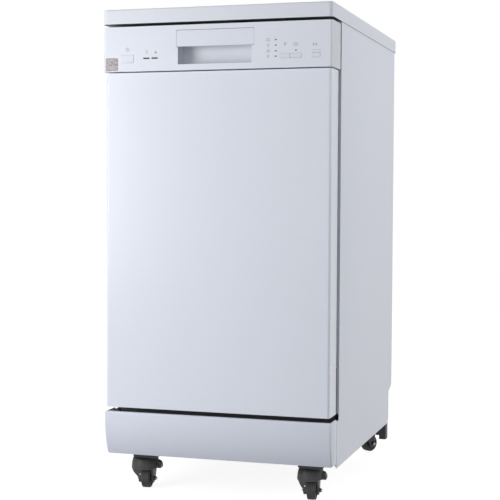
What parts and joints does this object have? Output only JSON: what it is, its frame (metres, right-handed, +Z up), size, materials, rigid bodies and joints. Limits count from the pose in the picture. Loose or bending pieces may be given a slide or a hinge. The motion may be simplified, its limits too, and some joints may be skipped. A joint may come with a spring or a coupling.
{
  "type": "portable dishwasher",
  "caption": "Narrow white portable dishwasher on swivel casters, with drop-down door, latch-lever handle, button panel, wire racks and spray arms.",
  "frame": {"origin": "on the floor, under the middle of the part's bounding box", "axes": "+Z up, the door and control panel face -Y, +X to the right of a person facing the door"},
  "size_m": [0.448, 0.61, 0.925],
  "materials": {
    "white_enamel": "smooth satin white enamel",
    "white_panel": "smooth satin white plastic",
    "worktop_white": "white laminate, satin",
    "worktop_core": "white laminate on chipboard",
    "button_white": "white plastic, satin",
    "lamp": "dark translucent lens",
    "galvanised": "dull galvanised sheet",
    "stainless": "brushed stainless steel",
    "hardware": "zinc-plated steel",
    "basin_plastic": "grey polypropylene",
    "inner_plastic": "pale grey polypropylene",
    "blue_plastic": "blue plastic",
    "dark_plastic": "black moulded plastic",
    "caster_black": "black nylon",
    "caster_tread": "black rubber tread",
    "gasket_rubber": "dark grey rubber",
    "pcb": "green circuit board",
    "rack_coating": "grey nylon-coated wire",
    "rack_wire": "grey nylon-coated steel wire"
  },
  "bodies": {
    "cabinet": {"worktop_frame": "worktop_white", "worktop_board": "worktop_core", "left_side_panel": "white_enamel", "right_side_panel": "white_enamel", "back_panel": "galvanised", "plinth": "white_panel", "base_tray": "dark_plastic", "front_rail": "galvanised", "tub_wrap": "stainless", "tub_floor": "basin_plastic", "door_gasket": "gasket_rubber", "seal_blocks": "gasket_rubber", "hinge_brackets": "hardware", "hinge_pins": "hardware", "door_springs": "hardware", "sump": "basin_plastic", "filter_plate": "stainless", "heater": "hardware", "wash_pump": "dark_plastic", "drain_pump": "dark_plastic", "inlet_valve": "blue_plastic", "drain_outlet": "dark_plastic", "cord_gland": "dark_plastic", "supply_pipe": "inner_plastic", "rack_rollers": "inner_plastic", "caster_plates": "hardware"},
    "door": {"door_outer_panel": "white_enamel", "door_inner_panel": "stainless", "control_panel": "white_panel", "control_board": "pcb", "indicator_lenses": "lamp", "dispenser_body": "inner_plastic", "door_hinge_plates": "hardware"},
    "latch": {"latch_lever": "white_panel"},
    "power_key": {"power_button": "button_white"},
    "program_key": {"program_button": "button_white"},
    "half_load_key": {"half_load_button": "button_white"},
    "start_key": {"start_button": "button_white"},
    "detergent_lid": {"dispenser_lid": "inner_plastic"},
    "rinse_aid_cap": {"rinse_cap": "blue_plastic"},
    "lower_rack": {"lower_rack_basket": "rack_wire", "lower_rack_tines": "rack_wire", "lower_rack_wheels": "inner_plastic", "cutlery_basket": "rack_coating"},
    "upper_rack": {"upper_rack_basket": "rack_wire", "upper_feed_tube": "inner_plastic", "upper_rack_rails": "stainless"},
    "upper_arm": {"upper_spray_arm": "inner_plastic"},
    "lower_arm": {"lower_spray_arm": "inner_plastic"},
    "fine_filter": {"filter_cylinder": "basin_plastic"},
    "fork_front_left": {"caster_fork_front_left": "caster_black"},
    "wheel_front_left": {"caster_wheel_front_left": "caster_tread"},
    "fork_front_right": {"caster_fork_front_right": "caster_black"},
    "wheel_front_right": {"caster_wheel_front_right": "caster_tread"},
    "fork_rear_left": {"caster_fork_rear_left": "caster_black"},
    "wheel_rear_left": {"caster_wheel_rear_left": "caster_tread"},
    "fork_rear_right": {"caster_fork_rear_right": "caster_black"},
    "wheel_rear_right": {"caster_wheel_rear_right": "caster_tread"},
    "pedal_left": {"brake_pedal_left": "caster_black"},
    "pedal_right": {"brake_pedal_right": "caster_black"}
  },
  "joints": [
    {"name": "door_hinge", "type": "hinge", "parent": "cabinet", "child": "door", "pos_m": [0, -0.275, 0.187], "axis": [1, 0, 0], "range_deg": [0, 90], "stiffness_Nm_per_rad": 11, "springref_deg": -14.32},
    {"name": "latch_pivot", "type": "hinge", "parent": "door", "child": "latch", "pos_m": [0, -0.3, 0.879], "axis": [-1, 0, 0], "range_deg": [0, 8], "stiffness_Nm_per_rad": 0.5, "springref_deg": -8.59},
    {"name": "power_press", "type": "slide", "parent": "door", "child": "power_key", "axis": [0, 1, 0], "range_m": [0, 0.0012], "stiffness_N_per_m": 200},
    {"name": "program_press", "type": "slide", "parent": "door", "child": "program_key", "axis": [0, 1, 0], "range_m": [0, 0.0012], "stiffness_N_per_m": 200},
    {"name": "half_load_press", "type": "slide", "parent": "door", "child": "half_load_key", "axis": [0, 1, 0], "range_m": [0, 0.0012], "stiffness_N_per_m": 200},
    {"name": "start_press", "type": "slide", "parent": "door", "child": "start_key", "axis": [0, 1, 0], "range_m": [0, 0.0012], "stiffness_N_per_m": 200},
    {"name": "lid_hinge", "type": "hinge", "parent": "door", "child": "detergent_lid", "pos_m": [0, -0.2528, 0.441], "axis": [-1, 0, 0], "range_deg": [0, 110]},
    {"name": "rinse_cap_twist", "type": "hinge", "parent": "door", "child": "rinse_aid_cap", "pos_m": [0.044, -0.26, 0.48], "axis": [0, 1, 0], "range_deg": [0, 90]},
    {"name": "lower_rack_slide", "type": "slide", "parent": "cabinet", "child": "lower_rack", "axis": [0, -1, 0], "range_m": [0, 0.1495]},
    {"name": "upper_rack_slide", "type": "slide", "parent": "cabinet", "child": "upper_rack", "axis": [0, -1, 0], "range_m": [0, 0.36]},
    {"name": "upper_arm_spin", "type": "hinge", "parent": "upper_rack", "child": "upper_arm", "pos_m": [0, 0.011, 0.517], "axis": [0, 0, 1], "continuous": true},
    {"name": "lower_arm_spin", "type": "hinge", "parent": "cabinet", "child": "lower_arm", "pos_m": [0, 0.011, 0.219], "axis": [0, 0, 1], "continuous": true},
    {"name": "filter_twist", "type": "hinge", "parent": "cabinet", "child": "fine_filter", "pos_m": [0.072, 0.119, 0.19], "axis": [0, 0, 1], "range_deg": [0, 60]},
    {"name": "swivel_front_left", "type": "hinge", "parent": "cabinet", "child": "fork_front_left", "pos_m": [-0.1675, -0.206, 0.053], "axis": [0, 0, 1], "continuous": true},
    {"name": "roll_front_left", "type": "hinge", "parent": "fork_front_left", "child": "wheel_front_left", "pos_m": [-0.16625, -0.21793, 0.0185], "axis": [0.9945, 0.1045, 0], "continuous": true},
    {"name": "swivel_front_right", "type": "hinge", "parent": "cabinet", "child": "fork_front_right", "pos_m": [0.1675, -0.206, 0.053], "axis": [0, 0, 1], "continuous": true},
    {"name": "roll_front_right", "type": "hinge", "parent": "fork_front_right", "child": "wheel_front_right", "pos_m": [0.16875, -0.21793, 0.0185], "axis": [0.9945, 0.1045, 0], "continuous": true},
    {"name": "swivel_rear_left", "type": "hinge", "parent": "cabinet", "child": "fork_rear_left", "pos_m": [-0.1675, 0.27, 0.053], "axis": [0, 0, 1], "continuous": true},
    {"name": "roll_rear_left", "type": "hinge", "parent": "fork_rear_left", "child": "wheel_rear_left", "pos_m": [-0.17438, 0.27983, 0.0185], "axis": [-0.8192, -0.5736, 0], "continuous": true},
    {"name": "swivel_rear_right", "type": "hinge", "parent": "cabinet", "child": "fork_rear_right", "pos_m": [0.1675, 0.27, 0.053], "axis": [0, 0, 1], "continuous": true},
    {"name": "roll_rear_right", "type": "hinge", "parent": "fork_rear_right", "child": "wheel_rear_right", "pos_m": [0.17438, 0.27983, 0.0185], "axis": [-0.8192, 0.5736, 0], "continuous": true},
    {"name": "brake_left", "type": "hinge", "parent": "fork_front_left", "child": "pedal_left", "pos_m": [-0.1486, -0.20401, 0.042], "axis": [-0.1045, 0.9945, 0], "range_deg": [0, 12]},
    {"name": "brake_right", "type": "hinge", "parent": "fork_front_right", "child": "pedal_right", "pos_m": [0.1864, -0.20401, 0.042], "axis": [-0.1045, 0.9945, 0], "range_deg": [0, 12]}
  ],
  "couplings": [
    {"joint": "lower_rack_slide", "follows": "door_hinge", "m_per_rad": 0.095},
    {"joint": "upper_rack_slide", "follows": "door_hinge", "m_per_rad": 0.229}
  ]
}
